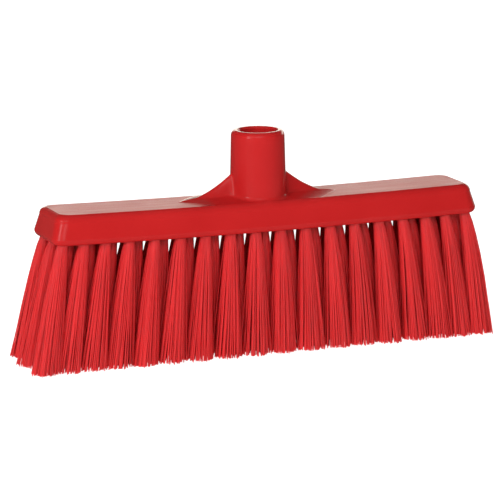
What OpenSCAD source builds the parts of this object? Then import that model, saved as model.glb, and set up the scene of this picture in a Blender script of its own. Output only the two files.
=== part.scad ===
// Push broom head: one moulded block with an upright handle socket,
// set with splayed tufts of stiff synthetic filament in staggered rows.
// The origin is on the floor under the middle of the head, +Z is up along
// the socket, X runs along the block and -Y is the front.

/* [Block] */
// Overall length of the block at its widest line
block_len = 310; // [300:1:330]
// Overall depth of the block, front to back, at its widest line
block_depth = 52.4; // [51:0.2:58]
// Height of the block from its underside to its flat top
block_h = 20.3; // [19:0.1:26]
// Depth of the flat top face, front to back
flat_depth = 39.6; // [36:0.2:42]
// Length of the flat top face
flat_len = 296; // [280:1:296]
// Height of the rounded lower edge
bottom_r = 4.2; // [3:0.1:4.4]
// How far the rounded lower edge reaches inwards
bottom_in = 3.2; // [2.6:0.1:3.2]
// Radius of the rounded upright corners
corner_r = 8; // [6:0.5:12]

/* [Socket] */
// Height of the socket rim above the flat top
socket_h = 46.7; // [44:0.1:60]
// Outer radius of the socket at its rim
socket_top_r = 18.4; // [17.5:0.1:18.5]
// Outer radius of the socket at its foot
socket_foot_r = 19.3; // [18.6:0.1:19.3]
// Outer rounding of the rim
rim_r = 3; // [1.5:0.1:3]
// Radius of the open mouth at the very top
mouth_r = 13.9; // [13.7:0.1:14.4]
// Radius of the plain bore that guides the handle end
guide_r = 13.2; // [12.6:0.1:13.4]
// Length of the plain bore, from the rim down to the thread
guide_len = 16.5; // [12:0.5:20]
// Radius to the crests of the thread
thread_crest_r = 11.2; // [10.5:0.1:11.6]
// Depth of the thread grooves
thread_depth = 1; // [0.6:0.1:1]
// Pitch of the thread
thread_pitch = 5; // [4:0.5:5]

/* [Flare] */
// Distance from the socket axis to each pointed end of the flare
flare_reach = 58; // [50:1:62]
// Height of the flare where it meets the socket
flare_h = 18.5; // [12:0.5:20]
// Half width of the flare's sloping base beside the socket
flare_w = 21.5; // [20:0.1:21.5]
// Height of the sloping base beside the socket
base_h = 3.2; // [2:0.1:4]
// Half thickness of the rib that rises from the base to the socket
rib_half = 3; // [2.5:0.1:5]

/* [Tufts] */
// Visible length of the filaments below the block
trim = 83.7; // [70:0.1:100]
// Spacing of the tufts along a row
pitch = 18.2; // [18:0.1:18.4]
// How much closer the last tufts of a row sit
end_pull = 3.1; // [3:0.1:3.4]
// Distance of the outer rows from the middle of the block
outer_row_y = 18.2; // [17.8:0.1:18.2]
// Distance of the inner rows from the middle of the block
inner_row_y = 9.1; // [9:0.05:9.2]
// Radius of a tuft where it leaves its hole
tuft_r = 3.7; // [3.2:0.1:3.7]
// Radius that a tuft has spread to at its trimmed end
tip_r = 7.4; // [6:0.1:7.4]
// Sideways splay of the end tufts at their tips
splay = 11.8; // [10:0.1:14]
// Splay towards front and back, as a share of a row's offset
row_splay = 0.48; // [0.42:0.01:0.5]
// Depth of the tuft holes along their axes
hole_depth = 13.5; // [12:0.5:14]

/* [Anchors] */
// Width of a wire anchor across its hole
anchor_w = 7.8; // [7.6:0.1:8]
// Thickness of the anchor wire
anchor_t = 0.4; // [0.3:0.05:0.5]
// Height of an anchor
anchor_h = 2.2; // [1.8:0.1:2.6]

/* [Hidden] */

$fn = 96;
eps = 0.01;
under_z = trim;                     // underside of the block
top_z = trim + block_h;             // flat top of the block
rim_z = top_z + socket_h;           // rim of the socket
flex_drop = tuft_r + 0.3;           // flex line of a row below the underside
flex_z = under_z - flex_drop;
hole_r = tuft_r;
root_r = tuft_r - 0.08;
last_x = 155;                       // where the sideways splay is full

// ---------- block ----------

// Half length and half depth of the block's outline at each level, with its
// corner radius: rounded lower edge, drafted faces, then the upper fillet,
// which stops 15 degrees short of level and so leaves a crisp border round
// the flat top.
draft_x = 3;
draft_y = 2.5;
fillet_turn = 75;
fillet_y = (block_depth - flat_depth) / 2 - draft_y;
fillet_x = (block_len - flat_len) / 2 - draft_x;
fillet_r = fillet_y / (1 - cos(fillet_turn));
fillet_h = fillet_r * sin(fillet_turn);
upper = [for (a = [0:12.5:fillet_turn]) [
    fillet_r * sin(a) / fillet_h,
    draft_x + fillet_x * (1 - cos(a)) / (1 - cos(fillet_turn)),
    draft_y + fillet_y * (1 - cos(a)) / (1 - cos(fillet_turn))]];

module level(z, inset_x, inset_y, r) {
    for (sx = [-1, 1], sy = [-1, 1])
        translate([sx * (block_len / 2 - inset_x - r),
                   sy * (block_depth / 2 - inset_y - r), z])
            cylinder(r = r, h = 0.001, $fn = 32);
}

module block_body() {
    hull() {
        for (a = [0:15:90])
            level(under_z + bottom_r * (1 - sin(a)),
                  bottom_in * (1 - cos(a)), bottom_in * (1 - cos(a)), corner_r - 1.5 + 1.5 * cos(a));
        for (u = upper)
            level(top_z - fillet_h + u[0] * fillet_h - 0.001, u[1], u[2],
                  corner_r - 1.2 * u[0]);
    }
}

// The flare is a low base that slopes to the front and back and narrows to a
// point at each end. It carries an upright rib along X, whose top runs up to
// the socket in a concave line.
function flare_half(x) =
    let(q = min(1, max(0, (flare_reach - abs(x)) / 27))) flare_w * (1 - (1 - q) * (1 - q));
function ridge(x) =
    let(u = min(1, max(0, (flare_reach - abs(x)) / (flare_reach - socket_top_r))))
    flare_h * pow(u, 1.85);
function base_z(x) = base_h * flare_half(x) / flare_w;
function rib_t(x) =
    rib_half * (0.55 + 0.45 * min(1, max(0, 3 * (flare_reach - abs(x)) / (flare_reach - socket_top_r))));
function flare_z(x, y) =
    base_z(x) * (1 - min(1, abs(y) / max(0.01, flare_half(x))))
    + max(0, ridge(x) - base_z(x)) * exp(-pow(abs(y) / rib_t(x), 3.2));

module flare() {
    nx = 40;
    // stations across: close together over the rib's sides
    side = [0, 0.35, 0.6, 0.8, 0.95, 1.1, 1.25, 1.45, 1.8];
    half_ts = [for (i = [len(side) - 1:-1:1]) -side[i]];
    xs = [for (i = [0:nx]) let(s = 2 * i / nx - 1) sign(s) * (flare_reach - 0.4) * pow(abs(s), 0.92)];
    // each section: the rib's stations, then one more out to the edge
    function ys(x) = let(t = rib_t(x), e = 0.93 * flare_half(x), k = min(1, 0.6 * e / (1.8 * t)))
        concat([-e], [for (v = half_ts) v * t * k], [for (v = side) v * t * k], [e]);
    w = 2 * len(side) + 1;
    n = (nx + 1) * w;
    top = [for (x = xs) for (y = ys(x)) [x, y, top_z + max(0.02, flare_z(x, y))]];
    bottom = [for (x = xs) for (y = ys(x)) [x, y, top_z - 3]];
    ny = w - 1;
    quads = concat(
        [for (i = [0:nx - 1]) for (j = [0:ny - 1])
            let(a = i * w + j) [[a, a + 1, a + w + 1], [a, a + w + 1, a + w]]],
        [for (i = [0:nx - 1]) for (j = [0:ny - 1])
            let(a = n + i * w + j) [[a, a + w + 1, a + 1], [a, a + w, a + w + 1]]],
        [for (i = [0:nx - 1]) let(a = i * w)
            [[a, a + w, n + a + w], [a, n + a + w, n + a]]],
        [for (i = [0:nx - 1]) let(a = i * w + ny)
            [[a, n + a + w, a + w], [a, n + a, n + a + w]]],
        [for (j = [0:ny - 1]) [[j, n + j, n + j + 1], [j, n + j + 1, j + 1]]],
        [for (j = [0:ny - 1]) let(a = nx * w + j)
            [[a, n + a + 1, n + a], [a, a + 1, n + a + 1]]]);
    polyhedron(concat(top, bottom), [for (q = quads) each q]);
}

module socket_outside() {
    rotate_extrude()
        polygon(concat(
            [[0, top_z - 4], [socket_foot_r, top_z - 4], [socket_foot_r, top_z]],
            [for (a = [0:10:90]) [
                socket_top_r - rim_r + rim_r * cos(a), rim_z - rim_r + rim_r * sin(a)]],
            [[0, rim_z]]));
}

thread_top = rim_z - guide_len;
thread_turns = 4;
thread_end = thread_top - 0.8 - thread_turns * thread_pitch - 2;

module socket_bore() {
    // plain guide bore
    translate([0, 0, thread_top]) cylinder(r = guide_r, h = guide_len + 1);
    // chamfered mouth
    translate([0, 0, rim_z - 1.2]) cylinder(r1 = guide_r, r2 = mouth_r + 0.02, h = 1.22);
    // core of the thread, with a blind end
    translate([0, 0, thread_end]) cylinder(r = thread_crest_r, h = guide_len + rim_z - thread_top);
    translate([0, 0, top_z + 0.8]) cylinder(r = thread_crest_r - 0.4, h = 20);
    // thread grooves
    for (k = [0:thread_turns - 1])
        translate([0, 0, thread_top - 2.4 - thread_pitch * (k + 0.5)])
            rotate_extrude()
                polygon([
                    [thread_crest_r - 1, -1.4], [thread_crest_r, -1.4],
                    [thread_crest_r + thread_depth, -0.5], [thread_crest_r + thread_depth, 0.5],
                    [thread_crest_r, 1.4], [thread_crest_r - 1, 1.4]]);
}

// ---------- tufts ----------

// Place along a row, counted in pitches from the middle
function row_x(i) = sign(i) * (pitch * abs(i) - max(0, end_pull * (abs(i) - 6.1)));
// Splay of the trimmed end
function splay_x(x) = splay * sin(90 * x / last_x);
function splay_y(y) = row_splay * y;
// Tilt of a tuft about Y and X
function tilt_y(x) = -atan2(splay_x(x), trim);
function tilt_x(x, y) = atan2(splay_y(y), norm([trim, splay_x(x)]));

outer = [for (i = [-8.5:1:8.5]) i];
inner = [for (i = [-8:1:8]) i];

function part_of(list, k) =
    k == 0 ? [for (i = list) if (i < -3) i] :
    k == 1 ? [for (i = list) if (abs(i) <= 3) i] :
             [for (i = list) if (i > 3) i];

// Puts the children, modelled hanging down from the origin, along a tuft's
// axis, whose exit from the underside is at (x, y).
module along(x, y) {
    translate([x, y, under_z])
        rotate([0, tilt_y(x), 0])
            rotate([tilt_x(x, y), 0, 0])
                children();
}

function lean_len(x, y) = norm([trim, splay_x(x), splay_y(y)]);

module tuft(x, y, r_end) {
    far = lean_len(x, y);
    drop = flex_drop * far / trim;
    slope = (r_end - tuft_r) / (far - drop);
    intersection() {
        along(x, y)
            union() {
                translate([0, 0, -drop]) sphere(r = tuft_r, $fn = 64);
                translate([0, 0, -far - 4])
                    cylinder(r1 = r_end + 4 * slope, r2 = tuft_r, h = far + 4 - drop, $fn = 64);
            }
        translate([x + splay_x(x) / 2, y, under_z / 2])
            cube([80, 80, under_z], center = true);
    }
}

module tuft_hole(x, y) {
    along(x, y) translate([0, 0, -4]) cylinder(r = hole_r, h = hole_depth + 4, $fn = 48);
}

module root(x, y) {
    intersection() {
        difference() {
            along(x, y) translate([0, 0, -4])
                cylinder(r = root_r, h = hole_depth + 4 - 0.1, $fn = 48);
            along(x, y) translate([0, 0, hole_depth - anchor_h / 2])
                cube([2 * tuft_r + 2, anchor_t + 0.2, anchor_h + 0.6], center = true);
        }
        translate([x, y, under_z + 20]) cube([30, 30, 40], center = true);
    }
}

module anchor(x, y) {
    along(x, y) translate([0, 0, hole_depth - anchor_h / 2 - 0.1])
        cube([anchor_w, anchor_t, anchor_h], center = true);
}

module tufts(list, y) {
    color([0.82, 0.13, 0.13]) for (i = list) tuft(row_x(i), y, tip_r);
}
module roots(list, y) {
    color([0.62, 0.07, 0.08]) for (i = list) root(row_x(i), y);
}
module anchors(list, y) {
    color([0.75, 0.76, 0.78]) for (i = list) anchor(row_x(i), y);
}

module block() {
    color([0.80, 0.15, 0.16])
    difference() {
        union() {
            block_body();
            flare();
            socket_outside();
        }
        socket_bore();
        for (i = outer, s = [-1, 1]) tuft_hole(row_x(i), s * outer_row_y);
        for (i = inner, s = [-1, 1]) tuft_hole(row_x(i), s * inner_row_y);
        for (s = [-1, 1]) tuft_hole(row_x(s * 8.5), 0);
    }
}

module front_tufts_left() { tufts(part_of(outer, 0), -outer_row_y); }
module front_tufts_middle() { tufts(part_of(outer, 1), -outer_row_y); }
module front_tufts_right() { tufts(part_of(outer, 2), -outer_row_y); }
module second_tufts_left() { tufts(part_of(inner, 0), -inner_row_y); }
module second_tufts_middle() { tufts(part_of(inner, 1), -inner_row_y); }
module second_tufts_right() { tufts(part_of(inner, 2), -inner_row_y); }
module third_tufts_left() { tufts(part_of(inner, 0), inner_row_y); }
module third_tufts_middle() { tufts(part_of(inner, 1), inner_row_y); }
module third_tufts_right() { tufts(part_of(inner, 2), inner_row_y); }
module back_tufts_left() { tufts(part_of(outer, 0), outer_row_y); }
module back_tufts_middle() { tufts(part_of(outer, 1), outer_row_y); }
module back_tufts_right() { tufts(part_of(outer, 2), outer_row_y); }
module end_tuft_left() { color([0.82, 0.13, 0.13]) tuft(row_x(-8.5), 0, tip_r - 0.4); }
module end_tuft_right() { color([0.82, 0.13, 0.13]) tuft(row_x(8.5), 0, tip_r - 0.4); }
module front_tuft_roots() { roots(outer, -outer_row_y); }
module second_tuft_roots() { roots(inner, -inner_row_y); }
module third_tuft_roots() { roots(inner, inner_row_y); }
module back_tuft_roots() { roots(outer, outer_row_y); }
module end_tuft_roots() { roots([-8.5, 8.5], 0); }
module front_anchors() { anchors(outer, -outer_row_y); }
module second_anchors() { anchors(inner, -inner_row_y); }
module third_anchors() { anchors(inner, inner_row_y); }
module back_anchors() { anchors(outer, outer_row_y); }
module end_anchors() { anchors([-8.5, 8.5], 0); }

block();
front_tufts_left();
front_tufts_middle();
front_tufts_right();
second_tufts_left();
second_tufts_middle();
second_tufts_right();
third_tufts_left();
third_tufts_middle();
third_tufts_right();
back_tufts_left();
back_tufts_middle();
back_tufts_right();
end_tuft_left();
end_tuft_right();
front_tuft_roots();
second_tuft_roots();
third_tuft_roots();
back_tuft_roots();
end_tuft_roots();
front_anchors();
second_anchors();
third_anchors();
back_anchors();
end_anchors();
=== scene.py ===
import math

import bpy
import numpy as np
from mathutils import Matrix, Vector
from mathutils.geometry import delaunay_2d_cdt


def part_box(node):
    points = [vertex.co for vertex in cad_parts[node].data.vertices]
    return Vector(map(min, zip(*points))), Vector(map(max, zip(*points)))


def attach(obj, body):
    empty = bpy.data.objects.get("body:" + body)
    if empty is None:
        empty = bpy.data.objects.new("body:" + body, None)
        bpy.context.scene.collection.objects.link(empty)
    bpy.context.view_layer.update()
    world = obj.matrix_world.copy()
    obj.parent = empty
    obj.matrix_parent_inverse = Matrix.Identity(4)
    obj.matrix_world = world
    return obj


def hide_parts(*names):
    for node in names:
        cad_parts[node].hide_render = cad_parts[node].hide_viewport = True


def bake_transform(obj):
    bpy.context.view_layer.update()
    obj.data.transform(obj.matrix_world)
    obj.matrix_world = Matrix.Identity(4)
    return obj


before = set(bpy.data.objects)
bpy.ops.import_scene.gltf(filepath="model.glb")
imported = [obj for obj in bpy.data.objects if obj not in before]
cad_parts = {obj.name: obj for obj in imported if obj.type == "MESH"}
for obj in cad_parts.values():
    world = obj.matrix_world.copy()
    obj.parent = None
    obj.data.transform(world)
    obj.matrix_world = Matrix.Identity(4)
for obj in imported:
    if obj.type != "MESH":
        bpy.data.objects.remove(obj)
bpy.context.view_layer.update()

MM = 0.001

# ---------------------------------------------------------------- sizes, mm
# These repeat part.scad's own sizes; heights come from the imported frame.
box_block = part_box("block")
RIM_Z = box_block[1].z / MM
UNDER = box_block[0].z / MM
TOP = UNDER + 20.3
LEN, DEPTH = 310.0, 52.4
FLAT_L, FLAT_D = 296.0, 39.6
BOTTOM_R, BOTTOM_IN, CORNER_R = 4.2, 3.2, 8.0
SOCK_TOP_R, SOCK_FOOT_R, RIM_R, RIM_DROP = 18.4, 19.3, 3.0, 4.2
MOUTH_R, GUIDE_R, GUIDE_LEN = 13.9, 13.2, 16.5
CREST_R, THREAD_DEPTH, THREAD_PITCH, THREAD_TURNS = 11.2, 1.0, 5.0, 4
FLARE_REACH, FLARE_H, FLARE_W, FLARE_TAPER = 58.0, 18.5, 21.5, 25.0
BASE_H, RIB_HALF = 3.6, 3.0
PITCH, END_PULL, OUTER_Y, INNER_Y = 18.2, 3.1, 18.2, 9.1
TUFT_R, SPLAY, ROW_SPLAY, HOLE_DEPTH = 3.7, 11.8, 0.48, 13.5
BOW = 1.7            # how much higher the block's ends sit than its middle


def bow(x):
    return BOW * (np.asarray(x, float) / 155.0) ** 2


def row_x(i):
    return math.copysign(PITCH * abs(i) - max(0.0, END_PULL * (abs(i) - 6.1)), i) if i else 0.0


def splay_x(x):
    return SPLAY * math.sin(math.pi / 2 * x / 155.0)


OUTER = [i + 0.5 for i in range(-9, 9)]
INNER = list(range(-8, 9))
ROWS = {
    "front": (OUTER, -OUTER_Y), "second": (INNER, -INNER_Y),
    "third": (INNER, INNER_Y), "back": (OUTER, OUTER_Y),
}
ALL_TUFTS = [(row_x(i), y) for ix, y in ROWS.values() for i in ix] + [
    (row_x(-8.5), 0.0), (row_x(8.5), 0.0)]


# ---------------------------------------------------------------- mesh help
def build(name, verts, faces, smooth=True, sharp=None):
    """A mesh object from points in mm and a list of arrays of faces, each array with one number of corners."""
    me = bpy.data.meshes.new(name)
    co = np.asarray(verts, float) * MM
    me.vertices.add(len(co))
    me.vertices.foreach_set("co", co.astype(np.float32).ravel())
    faces = [np.asarray(f, np.int64) for f in faces if len(f)]
    loops = np.concatenate([f.ravel() for f in faces])
    counts = np.concatenate([np.full(len(f), f.shape[1]) for f in faces])
    me.loops.add(len(loops))
    me.loops.foreach_set("vertex_index", loops.astype(np.int32))
    me.polygons.add(len(counts))
    starts = np.concatenate([[0], np.cumsum(counts)[:-1]])
    me.polygons.foreach_set("loop_start", starts.astype(np.int32))
    me.polygons.foreach_set("use_smooth", np.full(len(counts), bool(smooth)))
    me.update(calc_edges=True)
    me.validate()
    if sharp is not None:
        me.set_sharp_from_angle(angle=math.radians(sharp))
    ob = bpy.data.objects.new(name, me)
    bpy.context.scene.collection.objects.link(ob)
    return ob


def grid_faces(a, b, n):
    """Quads between two closed rings of n points that start at indices a and b."""
    k = np.arange(n)
    k1 = (k + 1) % n
    return np.stack([a + k, a + k1, b + k1, b + k], 1)


# ---------------------------------------------------------------- the block
def flare_half(x):
    q = np.clip((FLARE_REACH - np.abs(x)) / FLARE_TAPER, 0, 1)
    return FLARE_W * (1 - (1 - q) ** 2)


def flare_height(x, y):
    """A low sloping base, pointed at both ends, which carries a steep-sided rib up to the socket."""
    x, y = np.asarray(x, float), np.asarray(y, float)
    u = np.clip((FLARE_REACH - np.abs(x)) / (FLARE_REACH - SOCK_TOP_R), 0, 1)
    ridge = FLARE_H * u ** 1.85
    w = np.maximum(flare_half(x), 1e-6)
    base = BASE_H * (1 - np.exp(-np.maximum(FLARE_REACH - np.abs(x), 0) / 14.0))
    t = np.clip(np.abs(y) / w, 0, 1)
    d = np.maximum(0, np.hypot(x, y) - SOCK_FOOT_R)
    thick = RIB_HALF * (0.55 + 0.45 * np.clip(u * 3, 0, 1)) + 2.2 * np.exp(-d / 1.2)
    rib = np.exp(-(np.abs(y) / thick) ** 3.2)
    return base * (1 - t) ** 1.35 + np.maximum(ridge - base, 0) * rib


def foot_fillet(x, y):
    """The small concave rounding where the socket and its ribs meet the top."""
    d = np.maximum(0, np.hypot(x, y) - SOCK_FOOT_R)
    rf = 2.4 - 1.2 * np.exp(-(np.abs(y) / 3.5) ** 3)
    q = np.clip(d / rf, 0, 1)
    return rf * (1 - np.sqrt(np.maximum(0, 1 - (1 - q) ** 2)))


# Fractions along the long sides: close together beside the socket.
def long_side():
    fine = np.arange(-62, 62.01, 1.25)
    out = np.linspace(62, 141, 24)[1:]
    s = np.concatenate([-out[::-1], fine, out]) / 141.0
    return s


SIDE = long_side()
END = np.array([0, .5, 1, 1.4, 1.7, 1.95, 2.2, 2.4, 2.6, 2.8, 3.0, 3.2, 3.4, 3.6, 3.85, 4.15, 4.5, 5, 5.8, 7, 8.6, 10.6, 13.0]) / 13.0
END = np.concatenate([-END[:0:-1], END])
NC = 12


def outline(half_x, half_y, r):
    """A closed rounded rectangle, counted anticlockwise from the front left, with the same number of points at every level."""
    ax, ay = half_x - r, half_y - r
    pts = [np.stack([SIDE * ax, np.full(len(SIDE), -half_y)], 1)]
    a = np.radians(-90 + 90 * np.arange(1, NC) / NC)
    pts.append(np.stack([ax + r * np.cos(a), -ay + r * np.sin(a)], 1))
    s = END
    pts.append(np.stack([np.full(len(s), half_x), s * ay], 1))
    a = np.radians(90 * np.arange(1, NC) / NC)
    pts.append(np.stack([ax + r * np.cos(a), ay + r * np.sin(a)], 1))
    pts.append(np.stack([-SIDE * ax, np.full(len(SIDE), half_y)], 1))
    a = np.radians(90 + 90 * np.arange(1, NC) / NC)
    pts.append(np.stack([-ax + r * np.cos(a), ay + r * np.sin(a)], 1))
    pts.append(np.stack([np.full(len(s), -half_x), -s * ay], 1))
    a = np.radians(180 + 90 * np.arange(1, NC) / NC)
    pts.append(np.stack([-ax + r * np.cos(a), -ay + r * np.sin(a)], 1))
    return np.concatenate(pts)


def make_block():
    verts, rings, faces = [], [], []

    def add_ring(p):
        rings.append(sum(len(v) for v in verts))
        verts.append(np.asarray(p, float))
        if len(rings) > 1:
            faces.append(grid_faces(rings[-2], rings[-1], len(p)))

    draft_x, draft_y, turn = 3.0, 2.5, math.radians(75)
    fil_x = (LEN - FLAT_L) / 2 - draft_x
    fil_y = (DEPTH - FLAT_D) / 2 - draft_y
    fil_r = fil_y / (1 - math.cos(turn))
    fil_h = fil_r * math.sin(turn)

    def level(z, ix, iy, r, lift=0.0):
        p = outline(LEN / 2 - ix, DEPTH / 2 - iy, r)
        return np.column_stack([p, z + bow(p[:, 0]) + lift])

    # underside edge, rounded lower edge, drafted faces
    for a in np.radians(np.linspace(0, 90, 10)):
        inset = BOTTOM_IN * (1 - math.sin(a))
        add_ring(level(UNDER + BOTTOM_R * (1 - math.cos(a)), inset, inset, CORNER_R - 1.5 * (1 - math.sin(a))))
    z0, z1 = UNDER + BOTTOM_R, TOP - fil_h
    for f in (0.04, 0.35, 0.68, 0.97):
        add_ring(level(z0 + (z1 - z0) * f, draft_x * f, draft_y * f, CORNER_R))
    # upper fillet, which carries the flare's skirt beside the socket
    edge = outline(FLAT_L / 2, FLAT_D / 2, CORNER_R - 1.2)
    skirt = flare_height(edge[:, 0], edge[:, 1]) + foot_fillet(edge[:, 0], edge[:, 1])
    for a in np.linspace(0, turn, 11):
        s = math.sin(a) * fil_r / fil_h
        k = (1 - math.cos(a)) / (1 - math.cos(turn))
        add_ring(level(z1 + fil_r * math.sin(a), draft_x + fil_x * k, draft_y + fil_y * k,
                       CORNER_R - 1.2 * s, skirt * (a / turn) ** 2))
    top_edge = verts[-1]
    n = len(top_edge)
    # the flat top and the flare, in to the foot of the socket
    ex, ey = np.abs(top_edge[:, 0]), np.abs(top_edge[:, 1])
    end_y, long_x = FLAT_D / 2 - (CORNER_R - 1.2), FLAT_L / 2 - (CORNER_R - 1.2)
    a_end = math.asin(end_y / SOCK_FOOT_R)
    a_long = math.radians(48)
    low = math.atan2(55.0, long_x)
    turned = (ey - end_y) / (CORNER_R - 1.2)
    first = np.where(
        ey <= end_y + 1e-6, np.arcsin(np.minimum(ey, end_y) / SOCK_FOOT_R),
        np.where(ex > long_x + 1e-6, a_end + (a_long - a_end) * turned,
                 a_long + (math.pi / 2 - a_long) * (np.arctan2(55.0, ex) - low) / (math.pi / 2 - low)))
    ang = np.arctan2(np.sin(first) * np.sign(top_edge[:, 1]), np.cos(first) * np.sign(top_edge[:, 0]))
    foot = np.column_stack([np.cos(ang), np.sin(ang)]) * SOCK_FOOT_R
    ray = top_edge[:, :2] - foot
    length = np.linalg.norm(ray, axis=1)
    power = 1 + 0.7 * np.clip(length / 30, 0, 1)
    m = 72
    for j in range(m - 1, -1, -1):
        p = foot + ray * ((j / m) ** power)[:, None]
        h = flare_height(p[:, 0], p[:, 1]) + foot_fillet(p[:, 0], p[:, 1])
        add_ring(np.column_stack([p, TOP + h + bow(p[:, 0])]))
    z_foot = verts[-1][:, 2]
    # socket wall
    for f in np.linspace(0, 1, 14)[1:]:
        z = z_foot + (RIM_Z - RIM_DROP - z_foot) * f
        r = SOCK_FOOT_R + (SOCK_TOP_R - SOCK_FOOT_R) * ((RIM_Z - RIM_DROP - z_foot) * f) / (RIM_Z - RIM_DROP - z_foot)
        add_ring(np.column_stack([r * np.cos(ang), r * np.sin(ang), z]))

    def round_ring(r, z):
        z = np.broadcast_to(np.asarray(z, float), ang.shape)
        r = np.broadcast_to(np.asarray(r, float), ang.shape)
        add_ring(np.column_stack([r * np.cos(ang), r * np.sin(ang), z]))

    for a in np.radians(np.linspace(0, 90, 11)[1:]):
        round_ring(SOCK_TOP_R - RIM_R + RIM_R * math.cos(a), RIM_Z - RIM_DROP + RIM_DROP * math.sin(a))
    round_ring(MOUTH_R + 0.35, RIM_Z)
    for a in np.radians([30, 60, 90]):
        round_ring(MOUTH_R + 0.35 - 0.35 * math.sin(a), RIM_Z - 0.35 * (1 - math.cos(a)))
    round_ring(GUIDE_R + 0.15, RIM_Z - 1.25)
    round_ring(GUIDE_R, RIM_Z - 1.5)
    thread_top = RIM_Z - GUIDE_LEN
    for f in np.linspace(0, 1, 5)[1:]:
        round_ring(GUIDE_R - 0.05 * f, RIM_Z - 1.5 + (thread_top + 1.5 - RIM_Z) * f)
    round_ring(GUIDE_R - 0.6, thread_top - 0.15)
    z_a, z_b = thread_top - 0.9, thread_top - 0.8 - THREAD_TURNS * THREAD_PITCH - 2
    for z in np.arange(z_a, z_b - 0.01, -0.3125):
        ph = ((thread_top - 2.4 - z) / THREAD_PITCH + ang / (2 * math.pi)) % 1.0
        prof = np.clip((1.4 - np.abs(ph - 0.5) * THREAD_PITCH) / 0.9, 0, 1)
        fade = min(1, (z_a - z) / 3.0, (z - z_b) / 3.0)
        round_ring(CREST_R + THREAD_DEPTH * prof * max(0.0, fade), z)
    end = TOP + 0.8
    round_ring(CREST_R - 0.4, z_b - 0.4)
    round_ring(CREST_R - 0.45, end + 1.2)
    round_ring(CREST_R - 0.8, end + 0.35)
    round_ring(CREST_R - 1.6, end)
    round_ring(CREST_R * 0.5, end)
    total = sum(len(v) for v in verts)
    verts.append(np.array([[0, 0, end]]))
    k = np.arange(n)
    faces.append(np.stack([rings[-1] + k, rings[-1] + (k + 1) % n, np.full(n, total)], 1))

    # underside with a countersunk blind hole for each tuft
    nh = 28
    th = 2 * math.pi * np.arange(nh) / nh
    start = total + 1
    loops = []
    for x, y in ALL_TUFTS:
        sx, sy = splay_x(x), ROW_SPLAY * y
        axis = np.array([sx, sy, -UNDER]) / math.sqrt(sx * sx + sy * sy + UNDER * UNDER)
        zt = UNDER + float(bow(x))
        circle = np.column_stack([np.cos(th), np.sin(th), np.zeros(nh)])
        first = start + sum(len(v) for v in loops)
        rings_h = []
        for r, depth in ((TUFT_R + 0.12, 0.0), (TUFT_R + 0.03, 0.12), (TUFT_R, 0.4), (TUFT_R, 7.0), (TUFT_R, HOLE_DEPTH)):
            c = np.array([x, y, zt]) - axis * depth
            ring = c + circle * r
            if depth == 0.0:
                ring[:, 2] = UNDER + bow(ring[:, 0])
            rings_h.append(ring)
        bottom = np.array([[x, y, zt]]) - axis * (HOLE_DEPTH + 1.2)
        loops.append(np.concatenate(rings_h + [bottom]))
        for q in range(4):
            faces.append(grid_faces(first + q * nh, first + (q + 1) * nh, nh))
        k = np.arange(nh)
        faces.append(np.stack([first + 4 * nh + k, first + 4 * nh + (k + 1) % nh, np.full(nh, first + 5 * nh)], 1))
    verts.extend(loops)
    allv = np.concatenate(verts)
    # triangulate the underside between the outline and the hole mouths
    idx = list(range(n))
    edges = [(i, (i + 1) % n) for i in range(n)]
    for t in range(len(ALL_TUFTS)):
        base = start + t * (5 * nh + 1)
        at = len(idx)
        idx += [base + q for q in range(nh)]
        edges += [(at + q, at + (q + 1) % nh) for q in range(nh)]
    flat = [Vector((allv[i][0], allv[i][1])) for i in idx]
    out = delaunay_2d_cdt(flat, edges, [], 0, 1e-7)
    origin = [o[0] for o in out[3]]
    pos = np.array([[p.x, p.y] for p in out[0]])
    tri = np.array([f for f in out[2] if len(f) == 3])
    mid = pos[tri].mean(1)
    keep = np.ones(len(tri), bool)
    for x, y in ALL_TUFTS:
        keep &= np.hypot(mid[:, 0] - x, mid[:, 1] - y) > TUFT_R + 0.09
    hx, hy, r = LEN / 2 - BOTTOM_IN, DEPTH / 2 - BOTTOM_IN, CORNER_R - 1.5
    over = np.hypot(np.maximum(np.abs(mid[:, 0]) - (hx - r), 0), np.maximum(np.abs(mid[:, 1]) - (hy - r), 0))
    keep &= over < r
    glob = np.array([idx[o] for o in origin])
    faces.append(glob[tri[keep]])
    ob = build("moulded_block", allv, faces, True)
    import bmesh
    bm = bmesh.new()
    bm.from_mesh(ob.data)
    bmesh.ops.recalc_face_normals(bm, faces=bm.faces)
    bm.to_mesh(ob.data)
    bm.free()
    ob.data.set_sharp_from_angle(angle=math.radians(13.5))
    return ob


# ------------------------------------------------------------- the filaments
STEPS = np.array([-0.115, 0.0, 0.08, 0.19, 0.34, 0.54, 0.77, 1.0])
SIDES = 5
FIL_R = 0.33


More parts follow.
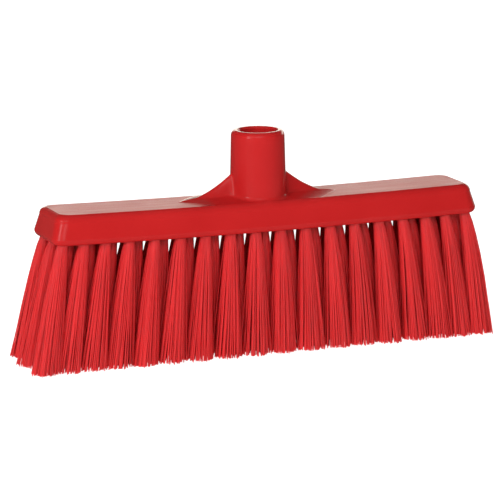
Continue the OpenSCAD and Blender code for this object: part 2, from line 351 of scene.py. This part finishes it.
def strands(x, y, tip_r, rng, count, lean, flare_out):
    """The filaments of one tuft: closed tubes from inside the hole to the trimmed tips."""
    sx, sy = splay_x(x), ROW_SPLAY * y
    zt = UNDER + float(bow(x))
    i = np.arange(count)
    rim = int(count * 0.42)
    inner = count - rim
    rho = np.where(i < inner, 0.9 * np.sqrt((i + 0.5) / inner), 1.0)
    phi = np.where(i < inner, i * 2.399963, (i - inner) * 2 * math.pi / rim)
    phi = phi + rng.uniform(-0.1, 0.1, count) + rng.uniform(0, 6.28)
    cx, cy = np.cos(phi), np.sin(phi)
    r0 = (TUFT_R - FIL_R - 0.03) * rho
    low = 0.62 if abs(x) > 140 else 0.55
    r1 = tip_r * (np.where(rho > 0.95, rng.uniform(low, 1.02, count), rho) + rng.normal(0, 0.04, count))
    jx, jy = np.clip(rng.normal(0, 0.7, (2, count)), -1.2, 1.2)
    bx, by = rng.normal(0, 0.35, (2, count))
    z_tip = np.abs(rng.normal(0, 0.5, count)) + rng.uniform(0, 0.4)
    short = rng.rand(count) < 0.05
    z_tip = np.where(short, z_tip + rng.uniform(0, 2.6, count), z_tip)
    z_tip = np.clip(z_tip, 0.02, 5.0)
    s = STEPS[None, :]
    f = np.clip(s, 0, 1) ** 0.82
    g = np.clip(s, 0, 1)
    ox = r0[:, None] * cx[:, None] * (1 - f) + (r1 * cx + jx)[:, None] * f + bx[:, None] * np.sin(math.pi * g)
    oy = r0[:, None] * cy[:, None] * (1 - f) + (r1 * cy + jy)[:, None] * f + by[:, None] * np.sin(math.pi * g)
    h = np.where(s > 0, f, s)
    edge = max(0.0, abs(x) - 118.0) / 30.0
    px = x + sx * h + (lean[0] + math.copysign(flare_out * edge, x)) * g ** 1.2 + ox
    py = y + sy * h + lean[1] * g ** 1.2 + oy
    pz = zt + (z_tip[:, None] - zt) * s
    centre = np.stack([px, py, pz], -1)                     # count, steps, 3
    a = 2 * math.pi * np.arange(SIDES) / SIDES
    rad = FIL_R * (0.94 + 0.14 * np.clip(STEPS, 0, 1))
    twist = rng.uniform(0, 6.28, count)
    ca = np.cos(a[None, None, :] + twist[:, None, None]) * rad[None, :, None]
    sa = np.sin(a[None, None, :] + twist[:, None, None]) * rad[None, :, None]
    ring = centre[:, :, None, :] + np.stack([ca, sa, np.zeros_like(ca)], -1)
    verts = ring.reshape(-1, 3)
    ns = len(STEPS)
    base = (np.arange(count) * ns * SIDES)[:, None, None]
    j = (np.arange(ns - 1) * SIDES)[None, :, None]
    k = np.arange(SIDES)[None, None, :]
    k1 = (k + 1) % SIDES
    quads = np.stack([base + j + k, base + j + SIDES + k, base + j + SIDES + k1, base + j + k1], -1).reshape(-1, 4)
    b = (np.arange(count) * ns * SIDES)[:, None]
    top = b + np.arange(SIDES)[None, :]
    tip = b + (ns - 1) * SIDES + np.arange(SIDES)[None, ::-1]
    tone = np.repeat(rng.rand(count), ns * SIDES)
    # each filament's shading turns part of the way towards the outside of its tuft
    out = np.stack([ox, oy, np.zeros_like(ox)], -1)
    out /= np.maximum(np.linalg.norm(out, axis=-1, keepdims=True), 1.0)
    own = np.stack([ca, sa, np.zeros_like(ca)], -1) / rad[None, :, None, None]
    shade = 0.62 * own + 0.62 * out[:, :, None, :]
    shade /= np.maximum(np.linalg.norm(shade, axis=-1, keepdims=True), 1e-6)
    return verts, quads, np.concatenate([top, tip]), tone, shade.reshape(-1, 3)


def tuft_piece(name, places, tip_r, seed, lean, count=152, flare_out=0.0):
    rng = np.random.RandomState(seed)
    vs, qs, cs, ts, ns, at = [], [], [], [], [], 0
    for x, y in places:
        v, q, c, t, nrm = strands(x, y, tip_r, rng, count + (44 if abs(x) > 140 else 0), lean, flare_out)
        vs.append(v)
        qs.append(q + at)
        cs.append(c + at)
        ts.append(np.clip(t + rng.normal(0, 0.08), 0, 1))
        ns.append(nrm)
        at += len(v)
    ob = build(name, np.concatenate(vs), [np.concatenate(qs), np.concatenate(cs)], True)
    me, quads, caps, nrm = ob.data, np.concatenate(qs), np.concatenate(cs), np.concatenate(ns)
    flat = np.zeros((len(caps) * SIDES, 3))
    down = np.concatenate([np.repeat([np.concatenate([np.full(len(c) // 2, 1.0), np.full(len(c) // 2, -1.0)])], 1) for c in cs])
    flat[:, 2] = np.repeat(down, SIDES)
    me.normals_split_custom_set(np.concatenate([nrm[quads.ravel()], flat]).tolist())
    tone = ob.data.attributes.new("strand_tone", "FLOAT", "POINT")
    tone.data.foreach_set("value", np.concatenate(ts).astype(np.float32))
    return ob


def fold_piece(name, places, seed):
    """The folds of the filaments over each anchor, at the bottom of the holes."""
    rng = np.random.RandomState(seed)
    vs, fs, cs, at = [], [], [], 0
    for x, y in places:
        sx, sy = splay_x(x), ROW_SPLAY * y
        axis = -np.array([sx, sy, -UNDER]) / math.sqrt(sx * sx + sy * sy + UNDER * UNDER)
        u = np.cross(np.array([0, 1.0, 0]), axis)
        u /= np.linalg.norm(u)
        v = np.cross(axis, u)
        origin = np.array([x, y, UNDER + float(bow(x))])
        for i in range(7):
            off = (i - 3) * 0.88
            half = math.sqrt(max(0.4, 3.2 ** 2 - off * off)) * rng.uniform(0.72, 0.98)
            crown = rng.uniform(11.9, 12.9)
            pts = []
            for t in np.linspace(0, math.pi, 7):
                pts.append(origin + u * off + v * (half * math.cos(t)) + axis * (9.0 + (crown - 9.0) * math.sin(t) ** 0.6))
            pts = np.array(pts)
            tan = np.gradient(pts, axis=0)
            tan /= np.linalg.norm(tan, axis=1)[:, None]
            side = np.repeat(u[None, :], len(pts), 0)
            up = np.cross(tan, side)
            a = 2 * math.pi * np.arange(5) / 5
            ring = pts[:, None, :] + 0.34 * (np.cos(a)[None, :, None] * side[:, None, :] + np.sin(a)[None, :, None] * up[:, None, :])
            vs.append(ring.reshape(-1, 3))
            for j in range(len(pts) - 1):
                fs.append(grid_faces(at + j * 5, at + (j + 1) * 5, 5))
            cs.append(np.array([np.arange(5)[::-1] + at, np.arange(5) + at + 5 * (len(pts) - 1)]))
            at += 5 * len(pts)
    return build(name, np.concatenate(vs), [np.concatenate(fs), np.concatenate(cs)], True, 60)


def anchor_piece(name, places):
    """Flat wire anchors: a rounded flat strip across each hole, its ends nicked into the wall."""
    vs, fs, at = [], [], 0
    prof = np.array([[-0.2, -0.9], [-0.12, -1.1], [0.12, -1.1], [0.2, -0.9], [0.2, 0.9], [0.12, 1.1], [-0.12, 1.1], [-0.2, 0.9]])
    for x, y in places:
        sx, sy = splay_x(x), ROW_SPLAY * y
        axis = -np.array([sx, sy, -UNDER]) / math.sqrt(sx * sx + sy * sy + UNDER * UNDER)
        u = np.cross(np.array([0, 1.0, 0]), axis)
        u /= np.linalg.norm(u)
        v = np.cross(axis, u)
        origin = np.array([x, y, UNDER + float(bow(x))]) + axis * 10.6
        stations = [(-3.9, 0.55), (-3.7, 0.9), (-2.6, 1.0), (0.0, 1.0), (2.6, 1.0), (3.7, 0.9), (3.9, 0.55)]
        first = at
        for s, k in stations:
            dip = 0.28 * (1 - (s / 3.9) ** 2)
            vs.append(origin + u * s + v * prof[:, :1] * k + axis * (prof[:, 1:] * k - dip))
            at += 8
        for j in range(len(stations) - 1):
            fs.append(grid_faces(first + j * 8, first + (j + 1) * 8, 8))
    quads = np.concatenate(fs)
    ends = []
    per = 8 * 7
    for t in range(len(places)):
        ends.append(np.arange(8)[::-1] + t * per)
        ends.append(np.arange(8) + t * per + 6 * 8)
    return build(name, np.concatenate(vs), [quads, np.array(ends)], True, 40)


# --------------------------------------------------------------- materials
class Net:
    """Short names for building a node material."""

    def __init__(self, name):
        self.mat = bpy.data.materials.new(name)
        self.mat.use_nodes = True
        self.tree = self.mat.node_tree
        self.out = self.tree.nodes["Material Output"]
        self.bsdf = self.tree.nodes["Principled BSDF"]

    def node(self, kind, **values):
        n = self.tree.nodes.new(kind)
        for k, v in values.items():
            setattr(n, k, v)
        return n

    def link(self, a, b):
        self.tree.links.new(a, b)

    def math(self, op, a, b=None, c=None, clamp=False):
        n = self.node("ShaderNodeMath", operation=op, use_clamp=clamp)
        for k, v in enumerate((a, b, c)):
            if v is None:
                continue
            if hasattr(v, "is_output"):
                self.link(v, n.inputs[k])
            else:
                n.inputs[k].default_value = v
        return n.outputs[0]

    def noise(self, vector, scale, detail=3.0, rough=0.5):
        n = self.node("ShaderNodeTexNoise")
        n.inputs["Scale"].default_value = scale
        n.inputs["Detail"].default_value = detail
        n.inputs["Roughness"].default_value = rough
        self.link(vector, n.inputs["Vector"])
        return n.outputs["Fac"]

    def remap(self, value, a, b, c, d):
        n = self.node("ShaderNodeMapRange")
        self.link(value, n.inputs["Value"])
        for k, v in zip(("From Min", "From Max", "To Min", "To Max"), (a, b, c, d)):
            n.inputs[k].default_value = v
        return n.outputs["Result"]

    def mix(self, fac, a, b):
        n = self.node("ShaderNodeMix", data_type="RGBA")
        if hasattr(fac, "is_output"):
            self.link(fac, n.inputs["Factor"])
        else:
            n.inputs["Factor"].default_value = fac
        for sock, v in ((n.inputs[6], a), (n.inputs[7], b)):
            if hasattr(v, "is_output"):
                self.link(v, sock)
            else:
                sock.default_value = (*v, 1.0)
        return n.outputs[2]

    def bump(self, height, strength, distance, normal=None):
        n = self.node("ShaderNodeBump")
        n.inputs["Strength"].default_value = strength
        n.inputs["Distance"].default_value = distance
        self.link(height, n.inputs["Height"])
        if normal is not None:
            self.link(normal, n.inputs["Normal"])
        return n.outputs["Normal"]


def block_material():
    m = Net("moulded_red_plastic")
    pos = m.node("ShaderNodeTexCoord").outputs["Object"]
    sep = m.node("ShaderNodeSeparateXYZ")
    m.link(pos, sep.inputs[0])
    x, y, z = sep.outputs
    # where the flat, textured top face lies: inside its border and outside the flare
    ax, ay = m.math("ABSOLUTE", x), m.math("ABSOLUTE", y)
    q = m.math("DIVIDE", m.math("SUBTRACT", FLARE_REACH * MM, ax), FLARE_TAPER * MM, clamp=True)
    one = m.math("SUBTRACT", 1.0, q)
    half = m.math("MULTIPLY", m.math("SUBTRACT", 1.0, m.math("MULTIPLY", one, one)), FLARE_W * MM)
    wedge = m.math("SUBTRACT", FLARE_REACH * MM, ax)
    outside = m.remap(m.math("SUBTRACT", ay, m.math("MINIMUM", half, wedge)), -0.0004, 0.0006, 0.0, 1.0)
    geo = m.node("ShaderNodeNewGeometry")
    nsep = m.node("ShaderNodeSeparateXYZ")
    m.link(geo.outputs["Normal"], nsep.inputs[0])
    up = m.remap(nsep.outputs["Z"], 0.975, 0.99, 0.0, 1.0)
    above = m.remap(z, (TOP - 0.35) * MM, (TOP - 0.15) * MM, 0.0, 1.0)
    below = m.remap(z, (TOP + 2.3) * MM, (TOP + 2.6) * MM, 1.0, 0.0)
    flat = m.math("MULTIPLY", m.math("MULTIPLY", up, above), m.math("MULTIPLY", outside, below))
    # colour: faint flow marks and mottling of the pigment
    cloud = m.noise(pos, 22, 3)
    speck = m.noise(pos, 900, 2)
    base = m.mix(m.remap(cloud, 0.3, 0.7, 0.0, 1.0), (0.405, 0.0100, 0.0106), (0.445, 0.0122, 0.0128))
    base = m.mix(m.remap(speck, 0.35, 0.65, 0.0, 0.16), base, (0.36, 0.0092, 0.0098))
    m.link(base, m.bsdf.inputs["Base Color"])
    rough = m.remap(m.noise(pos, 60, 4), 0.3, 0.7, 0.15, 0.20)
    drawn = m.node("ShaderNodeMapping")
    drawn.inputs["Scale"].default_value = (0.08, 1.0, 1.0)
    m.link(pos, drawn.inputs["Vector"])
    streaks = m.noise(drawn.outputs["Vector"], 380, 3, 0.6)
    grain_mix = m.math("ADD", m.math("MULTIPLY", m.noise(pos, 1500, 2), 0.4), m.math("MULTIPLY", streaks, 0.6))
    grain_rough = m.remap(grain_mix, 0.35, 0.65, 0.30, 0.42)
    mixr = m.node("ShaderNodeMix", data_type="FLOAT")
    m.link(flat, mixr.inputs["Factor"])
    m.link(rough, mixr.inputs[2])
    m.link(grain_rough, mixr.inputs[3])
    m.link(mixr.outputs[0], m.bsdf.inputs["Roughness"])
    # bump: orange peel everywhere, spark-eroded grain on the flat top
    peel = m.bump(m.noise(pos, 420, 2), 0.25, 0.00005)
    grain = m.noise(pos, 2600, 3, 0.6)
    fine = m.bump(m.math("MULTIPLY", grain, flat), 0.35, 0.00012, peel)
    m.link(fine, m.bsdf.inputs["Normal"])
    m.bsdf.inputs["IOR"].default_value = 1.49
    m.bsdf.inputs["Specular IOR Level"].default_value = 0.5
    return m.mat


def filament_material(name, painted_shade_factor=1.0):
    m = Net(name)
    pos = m.node("ShaderNodeTexCoord").outputs["Object"]
    tone = m.node("ShaderNodeAttribute", attribute_name="strand_tone").outputs["Fac"]
    # A factor below 1 darkens the red: painted shade, used for the folds at the bottom of the holes.
    base = m.mix(tone, (0.60 * painted_shade_factor, 0.0165, 0.0190), (0.64 * painted_shade_factor, 0.0205, 0.0230))
    # slow change of tone along and between the filaments
    stretch = m.node("ShaderNodeMapping")
    stretch.inputs["Scale"].default_value = (1.0, 1.0, 0.12)
    m.link(pos, stretch.inputs["Vector"])
    streak = m.noise(stretch.outputs["Vector"], 700, 2)
    base = m.mix(m.remap(streak, 0.35, 0.7, 0.0, 0.10), base, (0.52 * painted_shade_factor, 0.014, 0.016))
    m.link(base, m.bsdf.inputs["Base Color"])
    m.link(m.remap(streak, 0.3, 0.7, 0.38, 0.50), m.bsdf.inputs["Roughness"])
    m.link(m.bump(m.noise(pos, 3000, 2), 0.15, 0.00004), m.bsdf.inputs["Normal"])
    m.bsdf.inputs["IOR"].default_value = 1.52
    m.bsdf.inputs["Subsurface Weight"].default_value = 0.35
    m.bsdf.inputs["Subsurface Radius"].default_value = (1.0, 0.2, 0.2)
    m.bsdf.inputs["Subsurface Scale"].default_value = 0.0012
    m.bsdf.inputs["Specular IOR Level"].default_value = 0.5
    return m.mat


def wire_material():
    m = Net("anchor_steel_wire")
    pos = m.node("ShaderNodeTexCoord").outputs["Object"]
    stretch = m.node("ShaderNodeMapping")
    stretch.inputs["Scale"].default_value = (0.1, 1.0, 1.0)
    m.link(pos, stretch.inputs["Vector"])
    brushed = m.noise(stretch.outputs["Vector"], 9000, 2)
    m.link(m.mix(brushed, (0.60, 0.60, 0.62), (0.76, 0.76, 0.77)), m.bsdf.inputs["Base Color"])
    m.bsdf.inputs["Metallic"].default_value = 1.0
    m.link(m.remap(brushed, 0.3, 0.7, 0.25, 0.42), m.bsdf.inputs["Roughness"])
    m.link(m.bump(brushed, 0.2, 0.00002), m.bsdf.inputs["Normal"])
    return m.mat


# ------------------------------------------------------------------ pieces
MAT_BLOCK = block_material()
MAT_FIL = filament_material("red_filament")
# The folds at the bottom of the holes get the filament red darkened to 0.8: painted shade for the recess.
MAT_FOLD_PAINTED_SHADE = filament_material("red_filament_fold_painted_shade", 0.8)
MAT_WIRE = wire_material()

block = make_block()
block.data.materials.append(MAT_BLOCK)
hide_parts("block")
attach(block, "head")

TIP_R = 10.2
# How far each row's tips lean aside and back, as brushed in use.
LEAN = {"front": (-3.0, 0.9), "second": (-2.7, 0.7), "third": (-2.1, 0.5), "back": (-1.4, 0.4)}
seed = 11
for row, (idx, y) in ROWS.items():
    for part, pick in (("left", lambda i: i < -3), ("middle", lambda i: abs(i) <= 3), ("right", lambda i: i > 3)):
        places = [(row_x(i), y) for i in idx if pick(i)]
        lean = (LEAN[row][0] - (0.9 if part == "right" else 0.0), LEAN[row][1])
        ob = tuft_piece(f"filaments_{row}_{part}", places, TIP_R, seed, lean, flare_out=1.6 if part == "left" and row != "back" else 0.0)
        seed += 7
        ob.data.materials.append(MAT_FIL)
        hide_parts(f"{row}_tufts_{part}")
        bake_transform(ob)
    places = [(row_x(i), y) for i in idx]
    folds = fold_piece(f"filament_folds_{row}", places, seed)
    folds.data.materials.append(MAT_FOLD_PAINTED_SHADE)
    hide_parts(f"{row}_tuft_roots")
    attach(folds, "head")
    wires = anchor_piece(f"wire_anchors_{row}", places)
    wires.data.materials.append(MAT_WIRE)
    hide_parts(f"{row}_anchors")
    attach(wires, "head")

for side, i in (("left", -8.5), ("right", 8.5)):
    ob = tuft_piece(f"filaments_end_{side}", [(row_x(i), 0.0)], TIP_R + 0.8, seed, (-2.0, 0.4), 130, 2.0 if side == "left" else 0.0)
    seed += 7
    ob.data.materials.append(MAT_FIL)
    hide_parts(f"end_tuft_{side}")
    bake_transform(ob)
ends = [(row_x(-8.5), 0.0), (row_x(8.5), 0.0)]
folds = fold_piece("filament_folds_end", ends, seed)
folds.data.materials.append(MAT_FOLD_PAINTED_SHADE)
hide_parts("end_tuft_roots")
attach(folds, "head")
wires = anchor_piece("wire_anchors_end", ends)
wires.data.materials.append(MAT_WIRE)
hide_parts("end_anchors")
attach(wires, "head")

# ------------------------------------------------------------------- stage
def stage_plane(name, corners, mat):
    me = bpy.data.meshes.new(name)
    me.from_pydata(corners, [], [tuple(range(len(corners)))])
    ob = bpy.data.objects.new(name, me)
    bpy.context.scene.collection.objects.link(ob)
    ob.data.materials.append(mat)
    return ob


floor_mat = Net("pale_floor")
floor_mat.bsdf.inputs["Base Color"].default_value = (0.45, 0.45, 0.45, 1)
floor_mat.bsdf.inputs["Roughness"].default_value = 0.85
floor_mat.bsdf.inputs["Specular IOR Level"].default_value = 0.1
floor_mat.bsdf.inputs["Emission Color"].default_value = (1, 1, 1, 1)
floor_mat.bsdf.inputs["Emission Strength"].default_value = 0.92
floor = stage_plane("floor", [(-14, -14, 0), (14, -14, 0), (14, 14, 0), (-14, 14, 0)], floor_mat.mat)
floor.visible_glossy = False

wall_mat = Net("pale_wall")
wall_mat.bsdf.inputs["Base Color"].default_value = (0.0, 0.0, 0.0, 1)
wall_mat.bsdf.inputs["Specular IOR Level"].default_value = 0.0
wall_mat.bsdf.inputs["Emission Color"].default_value = (1, 1, 1, 1)
wall_mat.bsdf.inputs["Emission Strength"].default_value = 1.0
turns = 48
ring = [(13.5 * math.cos(2 * math.pi * k / turns), 13.5 * math.sin(2 * math.pi * k / turns)) for k in range(turns)]
me = bpy.data.meshes.new("backdrop")
me.from_pydata([(x, y, -0.02) for x, y in ring] + [(x, y, 9.0) for x, y in ring], [],
               [(k, (k + 1) % turns, turns + (k + 1) % turns, turns + k) for k in range(turns)])
backdrop = bpy.data.objects.new("backdrop", me)
bpy.context.scene.collection.objects.link(backdrop)
me.materials.append(wall_mat.mat)
backdrop.visible_glossy = False
backdrop.visible_diffuse = False
backdrop.visible_transmission = False
backdrop.visible_shadow = False

# The world: dim, with one bright band low behind the head, which the flat top
# and the rim mirror.
world = bpy.data.worlds.new("studio")
bpy.context.scene.world = world
world.use_nodes = True
wt = world.node_tree
bg = wt.nodes["Background"]
coord = wt.nodes.new("ShaderNodeTexCoord")
wsep = wt.nodes.new("ShaderNodeSeparateXYZ")
wt.links.new(coord.outputs["Generated"], wsep.inputs[0])


def band(axis, a, b, c, d):
    n = wt.nodes.new("ShaderNodeMapRange")
    n.interpolation_type = "SMOOTHSTEP"
    wt.links.new(wsep.outputs[axis], n.inputs["Value"])
    for k, v in zip(("From Min", "From Max", "To Min", "To Max"), (a, b, c, d)):
        n.inputs[k].default_value = v
    return n.outputs["Result"]


def times(a, b):
    n = wt.nodes.new("ShaderNodeMath")
    n.operation = "MULTIPLY"
    wt.links.new(a, n.inputs[0])
    wt.links.new(b, n.inputs[1])
    return n.outputs[0]


patch = times(times(band("X", 0.0, 0.12, 0.0, 1.0), band("Y", 0.3, 0.5, 0.0, 1.0)),
              times(band("Z", 0.0, 0.06, 0.0, 1.0), band("Z", 0.25, 0.29, 1.0, 0.0)))
glow = wt.nodes.new("ShaderNodeMath")
glow.operation = "MULTIPLY_ADD"
wt.links.new(patch, glow.inputs[0])
glow.inputs[1].default_value = 2.4
glow.inputs[2].default_value = 0.08
wt.links.new(glow.outputs[0], bg.inputs["Strength"])
bg.inputs["Color"].default_value = (1.0, 1.0, 0.88, 1)


def softbox(name, azimuth, elevation, far, size, power):
    """A rectangular light that looks at the head. Azimuth counts from -Y towards -X, in degrees."""
    az, el = math.radians(azimuth), math.radians(elevation)
    loc = Vector((-math.sin(az) * math.cos(el), -math.cos(az) * math.cos(el), math.sin(el))) * far + Vector((0, 0, 0.08))
    data = bpy.data.lights.new(name, "AREA")
    data.shape = "RECTANGLE"
    data.size, data.size_y = size
    data.energy = power
    ob = bpy.data.objects.new(name, data)
    ob.location = loc
    ob.rotation_mode = "QUATERNION"
    ob.rotation_quaternion = (Vector((0, 0, 0.08)) - loc).to_track_quat("-Z", "Y")
    ob.visible_camera = False
    bpy.context.scene.collection.objects.link(ob)
    return ob


key = softbox("key", 56, 23, 2.0, (1.3, 1.6), 26)
key.visible_glossy = False
softbox("strip", 61, 18, 2.0, (0.36, 1.0), 2.6)
fill = softbox("fill", 14, 28, 2.2, (1.3, 1.0), 22)
fill.visible_glossy = False
softbox("shine", 16, 28, 2.2, (0.8, 0.6), 0.9)
back_fill = softbox("back_fill", 205, 16, 2.4, (1.2, 0.8), 19)
back_fill.visible_glossy = False
top_fill = softbox("top_fill", 20, 80, 1.8, (1.4, 1.0), 5.5)
top_fill.visible_glossy = False

# ------------------------------------------------------------------ camera
cam_data = bpy.data.cameras.new("camera")
cam = bpy.data.objects.new("camera", cam_data)
bpy.context.scene.collection.objects.link(cam)
az, el, roll = math.radians(-21.22847), math.radians(11.61636), math.radians(-0.35162)
back = Vector((math.sin(az) * math.cos(el), -math.cos(az) * math.cos(el), math.sin(el)))
right = Vector((math.cos(az), math.sin(az), 0))
up = back.cross(right)
c, s = math.cos(roll), math.sin(roll)
r2, u2 = c * right + s * up, -s * right + c * up
place = (-5.50 * r2 - 36.7301616 * u2 + 2283.50661 * back) * MM + Vector((0, 0, TOP * MM))
cam.matrix_world = Matrix((
    (r2.x, u2.x, back.x, place.x), (r2.y, u2.y, back.y, place.y),
    (r2.z, u2.z, back.z, place.z), (0, 0, 0, 1)))
cam_data.sensor_width = 36.0
cam_data.lens = 239.57
cam_data.clip_start, cam_data.clip_end = 0.1, 60.0
bpy.context.scene.camera = cam
bpy.context.scene.view_settings.view_transform = "Standard"
